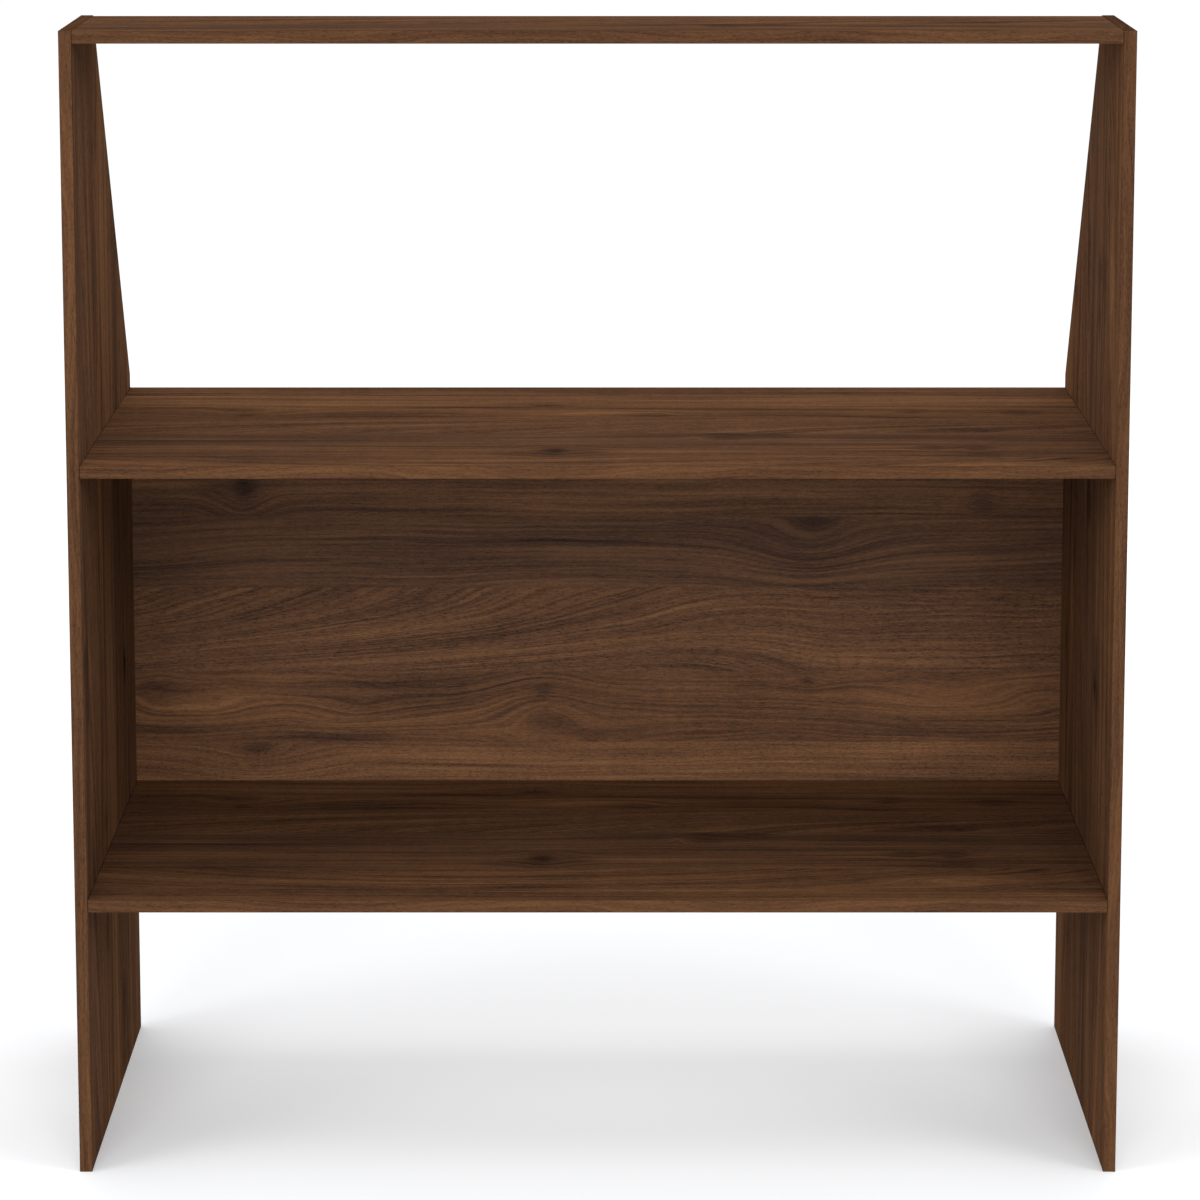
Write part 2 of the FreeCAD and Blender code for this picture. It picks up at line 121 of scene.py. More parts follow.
class Finish:
    """The nodes of one material, or of one group that several materials share."""

    def __init__(self, tree):
        self.tree = tree

    def node(self, kind, settings=None, inputs=None, output=0):
        """Adds a node: its settings first, then the values or links of its sockets. Gives one output back."""
        made = self.tree.nodes.new(kind if kind.startswith("Node") else f"ShaderNode{kind}")
        for key, setting in (settings or {}).items():
            if key == "stops":
                set_stops(made.color_ramp, setting)
            else:
                setattr(made, key, setting)
        for key, value in (inputs or {}).items():
            if isinstance(value, Amount):
                self.tree.links.new(value.socket, made.inputs[key])
            else:
                made.inputs[key].default_value = value
        return Amount(self, made.outputs[output]) if made.outputs else made

    def parts(self, vector):
        """The three numbers of a vector."""
        first = self.node("SeparateXYZ", inputs={0: vector})
        return [Amount(self, socket) for socket in first.socket.node.outputs]

    def point(self, x, y, z):
        """A vector of three numbers."""
        return self.node("CombineXYZ", inputs={0: x, 1: y, 2: z})

    def dot(self, first, second):
        """The dot product of two vectors."""
        return self.node("VectorMath", {"operation": "DOT_PRODUCT"}, {0: first, 1: second}, "Value")

    def ramp_up(self, value, low, high):
        """0 below low, 1 above high, and a smooth S between them."""
        return self.node("MapRange", {"interpolation_type": "SMOOTHSTEP"},
                         {"Value": value, "From Min": low, "From Max": high})

    def noise(self, vector, detail=2.0, roughness=0.5):
        """Soft noise about 0, mostly within a quarter of it."""
        settings = {"noise_dimensions": "3D"}
        sockets = {"Vector": vector, "Scale": 1.0, "Detail": detail, "Roughness": roughness}
        return self.node("TexNoise", settings, sockets) - 0.5

    def mix(self, kind, factor, first, second):
        """Blends two colours."""
        return self.node("Mix", {"data_type": "RGBA", "blend_type": kind}, {0: factor, 6: first, 7: second}, 2)


print("a finish takes points, ramps, noises and blends")


# %% Screen colours as linear colours
def srgb(red, green, blue, gain=1.0):
    """A screen colour of 0 to 255 as the linear colour that a socket holds."""
    def linear(level):
        share = level / 255
        return share / 12.92 if share <= 0.04045 else ((share + 0.055) / 1.055) ** 2.4
    return (*(gain * linear(level) for level in (red, green, blue)), 1.0)


BLACK = srgb(0, 0, 0)
print(f"half grey on the screen is {srgb(128, 128, 128)[0]:.3f} of the light")

# %% [markdown]
# ## The walnut sheet
# The boards of such a shelf are not cut from a tree one by one. They are cut from large sheets of one printed
# decor, and the photograph shows the same knots on the shelves, the back and the sides. A picture of walnut could
# be wrapped round each board, but it blurs when the eye comes near, and its seams show. So the figure is made
# once by formulas, as a sheet with two coordinates in millimetres, and each board says where it was cut.
#
# The decor imitates planks glued edge to edge. Every plank has its own tone, its own greyness and its own share
# of pores. Its year rings are the level lines of one number, called rings here. In a plain plank that number is
# the distance across the plank. Knots push it aside, so that the lines flow round them. In one plank it follows
# flames that climb from its lower edge, and in another it follows wide arches.

# %% Planks of the decor, in millimetres
PLANK_JOINTS = (60, 145, 223, 296, 372, 462, 538, 609, 684)
PLANK_TONES = (0.07, 0.01, -0.04, 0.12, -0.015, 0.03, -0.04, 0.01, 0.045, 0.055)
PLANK_SWAY = (20, 22, 20, 14, 44, 30, 18, 16, 26, 18)
PLANK_FIGURE = (1.0, 1.0, 1.0, 0.9, 0.9, 0.85, 0.75, 0.9, 1.0, 1.0)
PLANK_PORES = (0.16, 0.16, 0.16, 0.27, 0.16, 0.26, 0.13, 0.16, 0.20, 0.20)
PLANK_SATURATION = (1.0, 1.0, 1.0, 1.0, 1.01, 0.99, 0.97, 0.99, 1.0, 1.0)


def plank_of(across):
    """The number of the plank at a place across the sheet."""
    return sum(across > joint for joint in PLANK_JOINTS)


print(f"{len(PLANK_TONES)} planks; 500 mm across the sheet is in plank {plank_of(500)}")

# %% Knots, eyes and stains on the sheet
# A mark has a place on the sheet, a half length and a half height. It pushes the rings outwards by its share push,
# lifts them into an eye of closed ovals by lift, and is as dark as dark says. Pale marks have a negative darkness.
Mark = namedtuple("Mark", "along across length height push lift dark")
MARKS = [
    Mark(813, 130, 30, 20, 1.0, 0, 0.10),
    Mark(813, 130, 12, 8, 0.0, 0, 0.20),
    Mark(1243, 125, 28, 18, 1.0, 0, 0.10),
    Mark(1243, 125, 11, 8, 0.0, 0, 0.20),
    Mark(1583, 178, 24, 18, 1.0, 0, 0.24),
    Mark(985, 296, 80, 38, 1.0, 0, 0.02),
    Mark(992, 289, 16, 8, 0.0, 0, 0.22),
    Mark(262, 338, 95, 24, 0.0, 12, -0.06),
    Mark(168, 336, 26, 14, 0.8, 0, 0.08),
    Mark(409, 362, 30, 11, 1.0, 0, 0.04),
    Mark(409, 362, 9, 4, 0.0, 0, 0.24),
    Mark(686, 306, 52, 46, 1.0, 0, 0.03),
    Mark(686, 322, 32, 18, 0.0, 0, 0.07),
    Mark(689, 350, 9, 7, 0.0, 0, 0.16),
    Mark(890, 324, 62, 18, 0.0, 14, -0.05),
    Mark(900, 300, 50, 6, 0.0, 0, 0.12),
    Mark(1045, 329, 70, 22, 0.0, 20, -0.05),
    Mark(1098, 350, 26, 20, 0.6, 0, 0.09),
    Mark(1200, 352, 120, 20, 0.0, 0, 0.08),
    Mark(1298, 325, 16, 12, 1.0, 0, 0.08),
    Mark(1358, 330, 16, 13, 1.0, 0, 0.15),
    Mark(1470, 337, 20, 16, 1.0, 0, 0.20),
    Mark(760, 440, 90, 14, 0.0, 0, 0.08),
    Mark(1360, 435, 75, 12, 0.0, 0, 0.08),
    Mark(1425, 450, 18, 8, 1.0, 0, 0.14),
    Mark(408, 538, 66, 52, 1.0, 0, 0.04),
    Mark(405, 532, 22, 10, 0.0, 0, 0.20),
    Mark(414, 484, 34, 22, 0.0, 0, 0.10),
    Mark(1095, 478, 50, 16, 0.0, 0, 0.10),
    Mark(1130, 500, 90, 26, 0.0, 16, 0.0),
    Mark(1165, 480, 26, 28, 1.0, 0, 0.13),
    Mark(1138, 492, 12, 14, 0.0, 12, -0.06),
    Mark(1215, 471, 20, 16, 1.0, 0, 0.12),
    Mark(228, 549, 12, 11, 1.0, 0, 0.14),
    Mark(1003, 571, 34, 38, 1.0, 0, 0.14),
    Mark(1002, 571, 13, 26, 0.0, 0, 0.19),
    Mark(968, 587, 40, 13, 0.0, 0, 0.16),
    Mark(1036, 577, 22, 15, 0.0, 0, 0.14),
    Mark(740, 602, 190, 4, 0.0, 0, 0.14),
    Mark(1362, 551, 18, 16, 1.0, 0, 0.16),
    Mark(1406, 560, 20, 26, 1.0, 0, 0.24),
    Mark(1400, 598, 70, 8, 0.0, 0, 0.12),
    Mark(996, 684, 40, 14, 1.0, 0, 0.18),
    Mark(1020, 645, 30, 12, 0.6, 0, 0.12),
    Mark(1400, 652, 60, 14, 0.0, 18, -0.08),
]
MARK_DEPTH = 0.25  # in planks: so thin that no mark reaches over a joint
print(f"{len(MARKS)} marks on the sheet")

# %% Noise that is stretched along the grain
# A layer of noise: its length and width in millimetres, its detail and roughness, how far it moves on from plank
# to plank, and a seed that sets it apart from the other layers.
Layer = namedtuple("Layer", "length width detail roughness step seed")
SWAY = Layer(280, 70, 2.0, 0.5, 5.7, 0)
RIPPLE = Layer(30, 150, 2.0, 0.5, 3.1, 0)
BROAD = Layer(420, 24, 2.0, 0.6, 7.3, 0)
LINES = Layer(240, 3.5, 3.0, 0.6, 7.3, 20)
FIBRE = Layer(10, 1.1, 2.0, 0.6, 7.3, 40)
PORES = Layer(3.8, 0.8, 1.0, 0.6, 7.3, 60)
BOLD = Layer(300, 15, 1.0, 0.6, 7.3, 80)


def streaks(sheet, layer, along, level, plank):
    """Noise at (along / length, level / width), with a slice of its own for every plank."""
    place = sheet.point(along / layer.length, level / layer.width, plank * layer.step + layer.seed)
    return sheet.noise(place, layer.detail, layer.roughness)


def by_plank(sheet, plank, values):
    """One value per plank: a ramp with one hard step for each of them, read at the middle of the plank's step."""
    steps = len(values)
    stops = [(step / steps, (value,) * 3 + (1.0,)) for step, value in enumerate(values)]
    return sheet.node("ValToRGB", {"stops": ["CONSTANT", *stops]}, {0: (plank + 0.5) / steps})


print(f"the finest streaks are {PORES.width} mm wide, the widest {RIPPLE.width} mm")

# %% The rings
FLAME_PLANK = (372, 462)
FLAME_START = (380, 600)
FLAME_SLOPE = 2.2
FLAME_BEND = 0.004
FLAME_POWER = 2.6
FLAME_PITCH = 0.30
FLAME_LEVEL = 310
ARCH_PLANK = (609, 684)
ARCH_CENTRE = (960, 560)
ARCH_STRETCH = 0.22


def plain_flame_and_arch(sheet, along, across, plank):
    """The rings before any mark: across plus a slow sway, with two planks of their own figure.

    In the flame plank they are pitch * (along - climb) + level. There drop is the way down from the plank's edge,
    and climb is slope * drop + bend * drop ** power. In the arch plank they are the distance from the arch's
    centre, with the way along the grain shortened by stretch.
    """
    rings = across + streaks(sheet, SWAY, along, across, plank) * by_plank(sheet, plank, PLANK_SWAY)
    drop = FLAME_PLANK[1] - across
    climb = FLAME_SLOPE * drop + FLAME_BEND * drop ** FLAME_POWER
    flame = FLAME_PITCH * (along - climb) + FLAME_LEVEL
    in_flame = (across > FLAME_PLANK[0]) * (across < FLAME_PLANK[1]) * sheet.ramp_up(along, *FLAME_START)
    rings = rings + in_flame * (flame - across)
    arch = ((across - ARCH_CENTRE[1]) ** 2 + (ARCH_STRETCH * (along - ARCH_CENTRE[0])) ** 2) ** 0.5
    in_arch = (across > ARCH_PLANK[0]) * (across < ARCH_PLANK[1])
    return rings + in_arch * (arch + ARCH_CENTRE[1] - across)


def ring_field(sheet, along, across, plank, marks):
    """The number whose level lines are the grain, and the darkness of the marks.

    A mark is near = exp(-u * u - v * v), with u and v measured from its place in half lengths and half heights. It
    takes push * near of the distance from its middle off the rings, so that they flow round it, and lifts them by
    lift * near. The third coordinate is the plank.
    """
    spot = sheet.point(along, across, plank)
    rings = plain_flame_and_arch(sheet, along, across, plank)
    dark = 0.0
    for mark in marks:
        offset = sheet.node("Mapping", {"vector_type": "TEXTURE"}, {
            "Vector": spot,
            "Location": (mark.along, mark.across, plank_of(mark.across)),
            "Scale": (mark.length, mark.height, MARK_DEPTH),
        })
        near = math.exp(-1) ** sheet.dot(offset, offset)
        if mark.push:
            rings = rings - mark.push * (across - mark.across) * near
        if mark.lift:
            rings = rings + mark.lift * near
        dark = dark + mark.dark * near
    return rings, dark


print(f"flames in plank {plank_of(sum(FLAME_PLANK) / 2)}, arches in plank {plank_of(sum(ARCH_PLANK) / 2)}")

# %% [markdown]
# ## From rings to colour
# The print has one brown ink at many strengths, so a single number, the tone, chooses the colour from a ramp.
# Broad bands, fine lines and the dark late wood of each year follow the rings. Short fibre and pores run straight
# along the plank, as they do when real walnut is seen from near.
#
# Each of these could be a material of its own on top of the last. As terms of one sum they stay easy to weigh
# against each other. The height of the relief is made from the straight layers alone, because a Bump node works
# its height out three times, and the marks are far too many for that.

# %% Colours of the decor, from its darkest line to its palest streak
BOARD_SHARE = 0.75
BAND_SHARE = 0.52
MID_TONE = 0.5


def walnut_stops(share):
    """The colours seen in the photograph, times the share of its light that the print sends back."""
    return [
        "LINEAR",
        (0.00, srgb(38, 27, 21, share)),
        (0.25, srgb(67, 46, 34, share)),
        (0.50, srgb(96, 66, 45, share)),
        (0.75, srgb(119, 83, 55, share)),
        (1.00, srgb(143, 102, 67, share)),
    ]


print(f"{len(walnut_stops(BOARD_SHARE)) - 1} browns from dark to pale")

# %% The printed decor
RING_PITCH = 6.5
YEAR_WANDER = 3.0
LATE_START, LATE_PEAK, LATE_END = 0.40, 0.95, 1.0  # in years
BOLD_RANGE = (-0.10, 0.16)  # where the noise makes late wood fade in
PORE_RANGE = (0.0, 0.2)  # and where it opens a pore
BROAD_WEIGHT, LINES_WEIGHT, FIBRE_WEIGHT, RIPPLE_WEIGHT, LATE_WEIGHT = 0.7, 0.95, 0.62, 0.14, 0.15
MATT, PORE_MATT, LINES_GLOSS = 0.60, 0.10, 0.20
BOARD_CONTRAST, BAND_CONTRAST = 1.0, 0.7


def walnut_group(name, marks, contrast, share):
    """The printed decor: a place on the sheet in millimetres gives colour, roughness and height."""
    tree = bpy.data.node_groups.new(name, "ShaderNodeTree")
    tree.interface.new_socket("Place", in_out="INPUT", socket_type="NodeSocketVector")
    tree.interface.new_socket("Colour", in_out="OUTPUT", socket_type="NodeSocketColor")
    tree.interface.new_socket("Roughness", in_out="OUTPUT", socket_type="NodeSocketFloat")
    tree.interface.new_socket("Height", in_out="OUTPUT", socket_type="NodeSocketFloat")
    sheet = Finish(tree)
    along, across, _ = sheet.parts(sheet.node("NodeGroupInput"))
    plank = 0.0
    for joint in PLANK_JOINTS:
        plank = plank + (across > joint)
    rings, dark = ring_field(sheet, along, across, plank, marks)

    broad = streaks(sheet, BROAD, along, rings, plank)
    lines = streaks(sheet, LINES, along, rings, plank)
    fibre = streaks(sheet, FIBRE, along, across, plank)
    pores = sheet.ramp_up(streaks(sheet, PORES, along, across, plank), *PORE_RANGE)
    years = rings / RING_PITCH + YEAR_WANDER * broad
    year = years.math("FRACT", years)
    late_wood = sheet.ramp_up(year, LATE_START, LATE_PEAK) * (1 - sheet.ramp_up(year, LATE_PEAK, LATE_END))
    bold = sheet.ramp_up(streaks(sheet, BOLD, along, rings, plank), *BOLD_RANGE)
    ripple = streaks(sheet, RIPPLE, along, across, plank)

    plank_tone = by_plank(sheet, plank, [MID_TONE + tone for tone in PLANK_TONES])
    strength = contrast * by_plank(sheet, plank, PLANK_FIGURE)
    figure = (BROAD_WEIGHT * broad + LINES_WEIGHT * lines + FIBRE_WEIGHT * fibre + RIPPLE_WEIGHT * ripple
              - LATE_WEIGHT * late_wood * bold)
    tone = plank_tone + strength * figure - by_plank(sheet, plank, PLANK_PORES) * pores - dark
    ink = sheet.node("ValToRGB", {"stops": walnut_stops(share)}, {0: tone})
    saturation = by_plank(sheet, plank, PLANK_SATURATION)
    sheet.node("NodeGroupOutput", inputs={
        "Colour": sheet.node("HueSaturation", inputs={"Saturation": saturation, "Color": ink}),
        "Roughness": MATT + PORE_MATT * pores - LINES_GLOSS * lines,
        "Height": fibre - pores,
    })
    print(f"{name}: {len(tree.nodes)} nodes")
    return tree


BOARD_DECOR = walnut_group("walnut_board_decor", MARKS, BOARD_CONTRAST, BOARD_SHARE)
BAND_DECOR = walnut_group("walnut_band_decor", [], BAND_CONTRAST, BAND_SHARE)

# %% [markdown]
# ## Cutting the boards from the sheet
# A board needs only two directions: one that runs with its grain, and one that runs across it. Each is a vector,
# and the dot product with the place on the board gives millimetres on the sheet. A board could be unfolded to a
# flat map instead, but two dot products need no map and never stretch the print. The grain is level on the shelves
# and the back, and upright on the side panels. The back panel hangs upside down against the shelves, which is how
# its knots show in the photograph.
#
# Two things are added to the print. The lacquer is matt, and sends a faint even veil of light back: a coat with a
# very small weight, and a little more of it on the back and the sides than on the shelves. And where a shelf or
# the top board meets the side panels, the narrow gap between them lies in shade and shows as a thin dark line. The
# real gap is far under a millimetre, so it is not cut: the line is painted shade, drawn into the colour at the two
# ends.


# %% A board's material
# The joint line is painted shade: a dark line in the colour for the shadow in the gap where a board meets a side
# panel.
JOINT_SHADOW_WIDTH = 1.3 * MM
JOINT_SHADOW_CORE = 0.2  # the share of the line that is darkest
JOINT_SHADE = 0.6
RELIEF_STRENGTH = 0.25
RELIEF_DEPTH = 0.1 * MM
LACQUER_ROUGHNESS = 0.5
LACQUER_IOR = 3.0


def blank_material(name):
    """A new material with no nodes yet, and the finish that fills it."""
    material = bpy.data.materials.new(name)
    material.use_nodes = True
    material.node_tree.nodes.clear()
    return material, Finish(material.node_tree)


def decor_material(name, decor, along, across, start, gloss=0.0, end=None):
    """Walnut decor on a piece: start plus the dot products with along and across is the place on the sheet.

    A piece that ends against the side panels has its joints at x = end and x = -end, and gets a painted shadow
    line there, for the shade in the gap.
    """
    material, finish = blank_material(name)
    here = finish.node("TexCoord", output="Object")
    place = []
    for direction, first in zip((along, across), start):
        place.append(finish.dot(here, tuple(part / MM for part in direction)) + first)
    sheet = finish.node("Group", {"node_tree": decor}, {"Place": finish.point(*place, 0.0)}).socket.node
    colour, roughness, height = (Amount(finish, socket) for socket in sheet.outputs)
    # Painted shade: the colour darkens to a line at x = end and x = -end, for the shadow in the gap against the
    # side panels.
    if end:
        x, _, _ = finish.parts(here)
        joint = finish.ramp_up(x.math("ABSOLUTE", x), end - JOINT_SHADOW_WIDTH, end - JOINT_SHADOW_CORE * JOINT_SHADOW_WIDTH)
        colour = finish.mix("MULTIPLY", JOINT_SHADE * joint, colour, BLACK)
    shader = finish.node("BsdfPrincipled", inputs={
        "Base Color": colour,
        "Roughness": roughness,
        "Normal": finish.node("Bump", inputs={
            "Strength": RELIEF_STRENGTH, "Distance": RELIEF_DEPTH, "Height": height}),
        "Specular IOR Level": 0.0,
        "Coat Weight": gloss,
        "Coat Roughness": LACQUER_ROUGHNESS,
        "Coat IOR": LACQUER_IOR,
    })
    finish.node("OutputMaterial", inputs={"Surface": shader})
    return material


def wear(node, material):
    """Puts a material on a CAD piece."""
    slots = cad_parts[node].data.materials
    slots.clear()
    slots.append(material)


print(f"joint lines are {JOINT_SHADOW_WIDTH / MM:.1f} mm wide")

# %% Where each board was cut: along the grain, across it, the start on the sheet, and the lacquer's weight
X, Y, Z = np.eye(3)
BOARD_CUTS = {
    "back_panel": (-X, Z, (631, -16), 0.010),
    "middle_shelf": (X, -Y, (1042, 410), 0.004),
    "lower_shelf": (X, -Y, (1056, 481), 0.004),
    "top_board": (X, -Y, (1049, 300), 0.004),
    "left_side_panel": (-Z, -Y, (1663, 263), 0.007),
    "right_side_panel": (Z, -Y, (554, 473), 0.007),
}
for board, cut in BOARD_CUTS.items():
    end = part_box(board)[1][0] if board.endswith(("shelf", "top_board")) else None
    wear(board, decor_material(f"walnut_{board}", BOARD_DECOR, *cut, end))
print(f"{len(BOARD_CUTS)} boards cut from the sheet")

# %% [markdown]
# ## Edge bands
# A band is a thin strip of the same decor, glued along a cut edge, so its grain always runs along the edge. It is
# too narrow to show a knot, and its print is darker and quieter than the board's. Each band's directions could be
# listed by hand. They follow from the CAD piece itself, though: the longest side of its box, or the slope for the
# two bands on the slope, so that a changed size needs no change here.

# %% Grain along every band
BAND_PLACE = (600, 334)
BAND_STEP = 97
SLOPE_BANDS = ("left_slope_edge_band", "right_slope_edge_band")
slope_low, slope_high = (np.array(corner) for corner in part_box(SLOPE_BANDS[0]))
slope_run = (slope_high - slope_low) * (0, -1, 1)
SLOPE = slope_run / np.linalg.norm(slope_run)


def band_directions(node):
    """Along the band's length, and across its width and its thickness, which are square to each other."""
    low, high = (np.array(corner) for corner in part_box(node))
    size = high - low
    along = SLOPE if node in SLOPE_BANDS else np.eye(3)[size.argmax()]
    across = Y + Z if along is not SLOPE and size.argmax() == 0 else X + np.cross(X, along)
    return along, across, (low + high) / 2


bands = [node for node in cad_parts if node.endswith("_edge_band")]
for number, node in enumerate(sorted(bands)):
    along, across, middle = band_directions(node)
    start = (BAND_PLACE[0] + BAND_STEP * number - along @ middle / MM, BAND_PLACE[1] - across @ middle / MM)
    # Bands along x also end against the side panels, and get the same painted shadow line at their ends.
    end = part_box(node)[1][0] if along[0] == 1 else None
    wear(node, decor_material(f"walnut_{node}", BAND_DECOR, along, across, start, end=end))
print(f"{len(bands)} edge bands, slope direction {SLOPE.round(3)}")

# %% [markdown]
# ## Fittings
# The cam locks are cast zinc, dull and slightly uneven. The bolts and screws are plated steel, and the dowels are
# raw beech with short dark flecks. Most of them are hidden inside the boards, but the cams show from below and
# the screw heads from behind, so each gets a finish of its own. Four separate graphs would say the same thing four
# times, so one function makes them all from two noises and a few numbers. The pieces are small, and their
# patterns are measured in tenths of a millimetre.


# %% Metal and beech
CLOUD = 3 * MM
FLECK_LENGTH, FLECK_WIDTH = 2 * MM, 0.3 * MM
FITTING_RELIEF = 0.3
RAMP_DARK, RAMP_PALE = 0.2, 0.8


def plain_material(name, colour_of, roughness_of, metallic, relief_depth):
    """A finish from two noises: cloudy is a few millimetres wide and grainy a few tenths."""
    material, finish = blank_material(name)
    x, y, z = finish.parts(finish.node("TexCoord", output="Object"))
    cloudy = finish.noise(finish.point(x / CLOUD, y / CLOUD, z / CLOUD), 2.0)
    grainy = finish.noise(finish.point(x / FLECK_LENGTH, y / FLECK_WIDTH, z / FLECK_WIDTH), 3.0)
    shader = finish.node("BsdfPrincipled", inputs={
        "Base Color": colour_of(finish, cloudy, grainy),
        "Roughness": roughness_of(cloudy, grainy),
        "Metallic": metallic,
        "Normal": finish.node("Bump", inputs={
            "Strength": FITTING_RELIEF, "Distance": relief_depth, "Height": grainy}),
    })
    finish.node("OutputMaterial", inputs={"Surface": shader})
    return material


def two_tone(dark, pale, cloud_share, grain_share):
    """A colour function that goes from dark to pale with the noises."""
    def colour(finish, cloudy, grainy):
        share = 0.5 + cloud_share * cloudy + grain_share * grainy
        return finish.node("ValToRGB", {"stops": ["LINEAR", (RAMP_DARK, dark), (RAMP_PALE, pale)]}, {0: share})
    return colour


FITTINGS = {
    "cam_locks": plain_material("cast_zinc", two_tone(srgb(150, 150, 148), srgb(196, 196, 192), 1.2, 0.5),
                                lambda cloudy, grainy: 0.48 + 0.5 * cloudy, 1.0, 0.05 * MM),
    "cam_bolts": plain_material("plated_bolt", two_tone(srgb(176, 177, 178), srgb(214, 213, 208), 0.8, 0.6),
                                lambda cloudy, grainy: 0.30 + 0.3 * grainy, 1.0, 0.02 * MM),
    "panel_screws": plain_material("plated_screw", two_tone(srgb(168, 168, 166), srgb(212, 210, 204), 0.9, 0.6),
                                   lambda cloudy, grainy: 0.34 + 0.3 * cloudy, 1.0, 0.02 * MM),
    "dowels": plain_material("raw_beech", two_tone(srgb(176, 130, 88), srgb(222, 186, 142), 0.5, 1.6),
                             lambda cloudy, grainy: 0.72 + 0.2 * grainy, 0.0, 0.05 * MM),
}
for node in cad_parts:
    for ending, material in FITTINGS.items():
        if node.endswith(ending):
            wear(node, material)
bare = [node for node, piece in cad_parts.items() if not piece.data.materials[0].name.startswith(
    ("walnut_", "cast_", "plated_", "raw_"))]
print(f"fittings finished; pieces with no finish: {bare}")

# %% [markdown]
# ## The floor
# The photograph was taken in a white studio, and the floor is so bright that it runs into the background. A
# backdrop that curves up behind the shelf would do for this one view. A very large floor does the same, and looks
# right from every side. It glows a little, which keeps the shadow under the shelf as pale and as even as it is in
# the photograph: most in the middle, least in an oval ring round the shelf, and more again far away, where it has
# to be white.


# %% A round floor
FLOOR_RADIUS, FLOOR_RINGS, FLOOR_SPOKES = 60.0, 24, 64
FLOOR_GAP = 0.1 * MM


def disc(radius, rings, spokes):
    """Points at (r cos t, r sin t, 0), with r growing as the square of the ring's number."""
    r = radius * np.linspace(0, 1, rings + 1)[1:] ** 2
    t = np.linspace(0, 2 * math.pi, spokes, endpoint=False)
    points = np.stack([np.outer(r, np.cos(t)), np.outer(r, np.sin(t)), np.zeros((rings, spokes))], -1)
    first = np.arange((rings - 1) * spokes).reshape(rings - 1, spokes)
    beside = np.roll(first, -1, axis=1)
    quads = np.stack([first, first + spokes, beside + spokes, beside], -1).reshape(-1, 4)
    return points.reshape(-1, 3), [*quads.tolist(), list(range(spokes))]


floor_points, floor_faces = disc(FLOOR_RADIUS, FLOOR_RINGS, FLOOR_SPOKES)
floor_points[:, 2] = cad_low[2] - FLOOR_GAP
floor_mesh = bpy.data.meshes.new("studio_floor")
floor_mesh.from_pydata(floor_points.tolist(), [], floor_faces)
floor = bpy.data.objects.new("studio_floor", floor_mesh)
scene.collection.objects.link(floor)
print(f"floor of {len(floor_faces)} faces")

# %% The floor's paint
FLOOR_COLOUR = (0.69, 0.70, 0.715, 1.0)
# A step of glow: how much it adds, how x, y and z count towards its distance, and where it begins and is complete.
Glow = namedtuple("Glow", "amount stretch start end")
MIDDLE_GLOW = Glow(0.06, (0.15, 1.0, 1.0), 0.0, 0.15)
RING_SHADE = Glow(0.10, (1.0, 0.7, 1.0), 0.35, 0.65)
FAR_GLOW = Glow(0.23, (1.0, 1.0, 1.0), 1.0, 7.0)
FLOOR_GLOW = 0.19

floor_paint, paint = blank_material("pale_floor")
here = paint.node("TexCoord", output="Object")


def outwards(step):
    """0 near the middle of the floor and 1 far from it, by the length of the stretched place."""
    stretched = paint.node("VectorMath", {"operation": "MULTIPLY"}, {0: here, 1: step.stretch})
    distance = paint.node("VectorMath", {"operation": "LENGTH"}, {0: stretched}, "Value")
    return paint.ramp_up(distance, step.start, step.end)


glow = (FLOOR_GLOW + MIDDLE_GLOW.amount * (1 - outwards(MIDDLE_GLOW)) - RING_SHADE.amount * outwards(RING_SHADE)
        + FAR_GLOW.amount * outwards(FAR_GLOW))
paint_shader = paint.node("BsdfPrincipled", inputs={
    "Base Color": FLOOR_COLOUR,
    "Roughness": 1.0,
    "Specular IOR Level": 0.0,
    "Emission Color": glow,
    "Emission Strength": 1.0,
})
paint.node("OutputMaterial", inputs={"Surface": paint_shader})
floor_mesh.materials.append(floor_paint)
print(f"the floor glows {FLOOR_GLOW + MIDDLE_GLOW.amount:.2f} in the middle"
      f" and {FLOOR_GLOW - RING_SHADE.amount + FAR_GLOW.amount:.2f} far away")

# %% [markdown]
# ## Light
# A white studio sends light from all around, with more of it from the front. A white world gives the first, and it
# could be the only light, but then the shelf looks flat. Six large soft lights add the rest. Two stand far in
# front, one high and one low, so that the front edges and the shelves are bright and the legs are not dark. One at
# each side lights the inner face of the opposite panel. Two weaker ones, behind and above, lift the rear of the
# shelves and the floor. The camera doesn't see the lights themselves.

# %% White studio
scene.view_settings.view_transform = "Standard"
WHITE = (1.0, 1.0, 1.0, 1.0)
studio = bpy.data.worlds.new("white_studio")
studio.use_nodes = True
studio.node_tree.nodes["Background"].inputs["Color"].default_value = WHITE
studio.node_tree.nodes["Background"].inputs["Strength"].default_value = 1.0
scene.world = studio
print(f"{studio.name} lights the scene from all around")

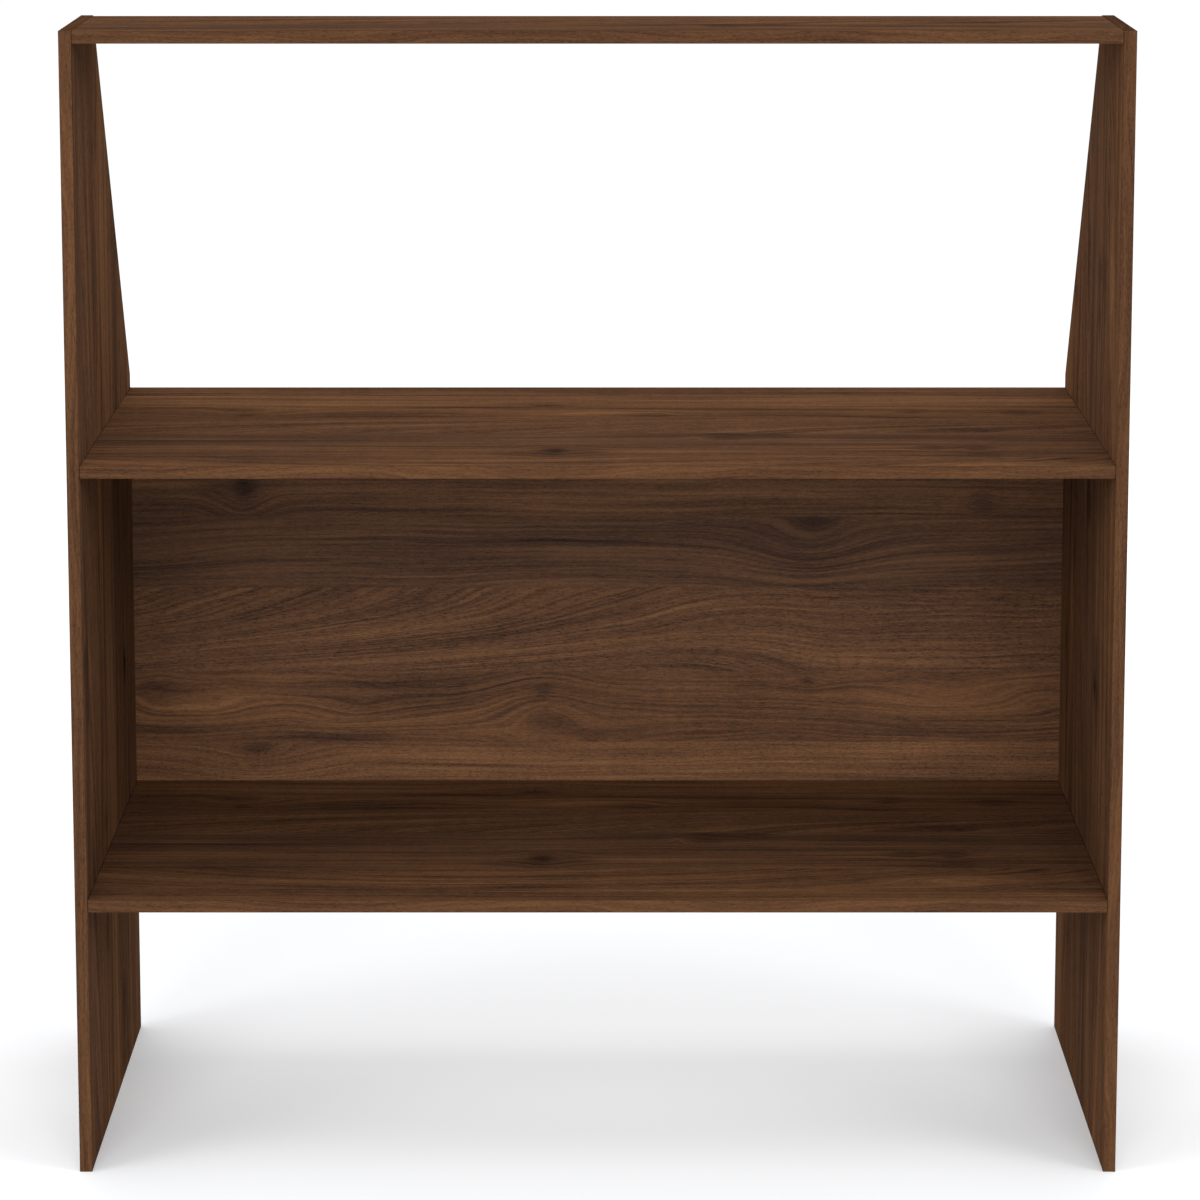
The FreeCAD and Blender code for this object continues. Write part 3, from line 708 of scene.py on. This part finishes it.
# %% Six soft lights: place and size in metres, and power in watts
Lamp = namedtuple("Lamp", "place size power")
LAMPS = {
    "low_front_light": Lamp((0.0, -8.0, 1.2), (6.0, 2.2), 224.0),
    "front_light": Lamp((0.0, -8.0, 3.8), (6.0, 2.2), 402.0),
    "left_light": Lamp((-3.5, -2.5, 1.8), (2.0, 1.6), 55.0),
    "right_light": Lamp((3.5, -2.5, 2.35), (2.0, 1.6), 51.0),
    "rear_light": Lamp((0.0, 3.6, 3.6), (4.0, 2.0), 61.0),
    "top_light": Lamp((0.0, 1.6, 4.0), (3.0, 1.2), 17.0),
}
MIDDLE = (0.0, 0.0, 0.6)


def soft_light(name, lamp, target):
    """A rectangular light that faces a target."""
    data = bpy.data.lights.new(name, "AREA")
    data.shape = "RECTANGLE"
    data.size, data.size_y = lamp.size
    data.energy = lamp.power
    light = bpy.data.objects.new(name, data)
    light.location = lamp.place
    aim = np.array(target) - np.array(lamp.place)
    yaw = math.atan2(-aim[0], aim[1])
    pitch = math.atan2(aim[2], math.hypot(aim[0], aim[1]))
    light.rotation_euler = (math.pi / 2 + pitch, 0.0, yaw)
    light.visible_camera = False
    scene.collection.objects.link(light)


for name, lamp in LAMPS.items():
    soft_light(name, lamp, MIDDLE)
print(f"{len(LAMPS)} soft lights, {sum(lamp.power for lamp in LAMPS.values()):.0f} W together")

# %% [markdown]
# ## Camera
# The picture is taken from a little above the top board, from far away, with a long lens. A lens that is shifted
# downwards would keep the upright edges quite parallel. A shift stays on when the camera goes round the shelf,
# though, and would push the shelf out of the frame there. So the camera looks down, with a small shift only.

# %% Camera, with its sizes taken from a picture of 1200 by 1200
PICTURE = 1200
SENSOR_WIDTH = 36.0
EYE_DISTANCE = 4.40
EYE_HEIGHT = 1.432
LOOK_DOWN = math.radians(9.87)
FOCAL_PIXELS = 4742
SHIFT = (0.002, -0.09)
camera_data = bpy.data.cameras.new("camera")
camera_data.sensor_width = SENSOR_WIDTH
camera_data.lens = SENSOR_WIDTH * FOCAL_PIXELS / PICTURE
camera_data.shift_x, camera_data.shift_y = SHIFT
camera = bpy.data.objects.new("camera", camera_data)
camera.location = (0.0, cad_low[1] - EYE_DISTANCE, EYE_HEIGHT)
camera.rotation_euler = (math.pi / 2 - LOOK_DOWN, 0.0, 0.0)
scene.collection.objects.link(camera)
scene.camera = camera
print(f"lens of {camera_data.lens:.1f} mm")
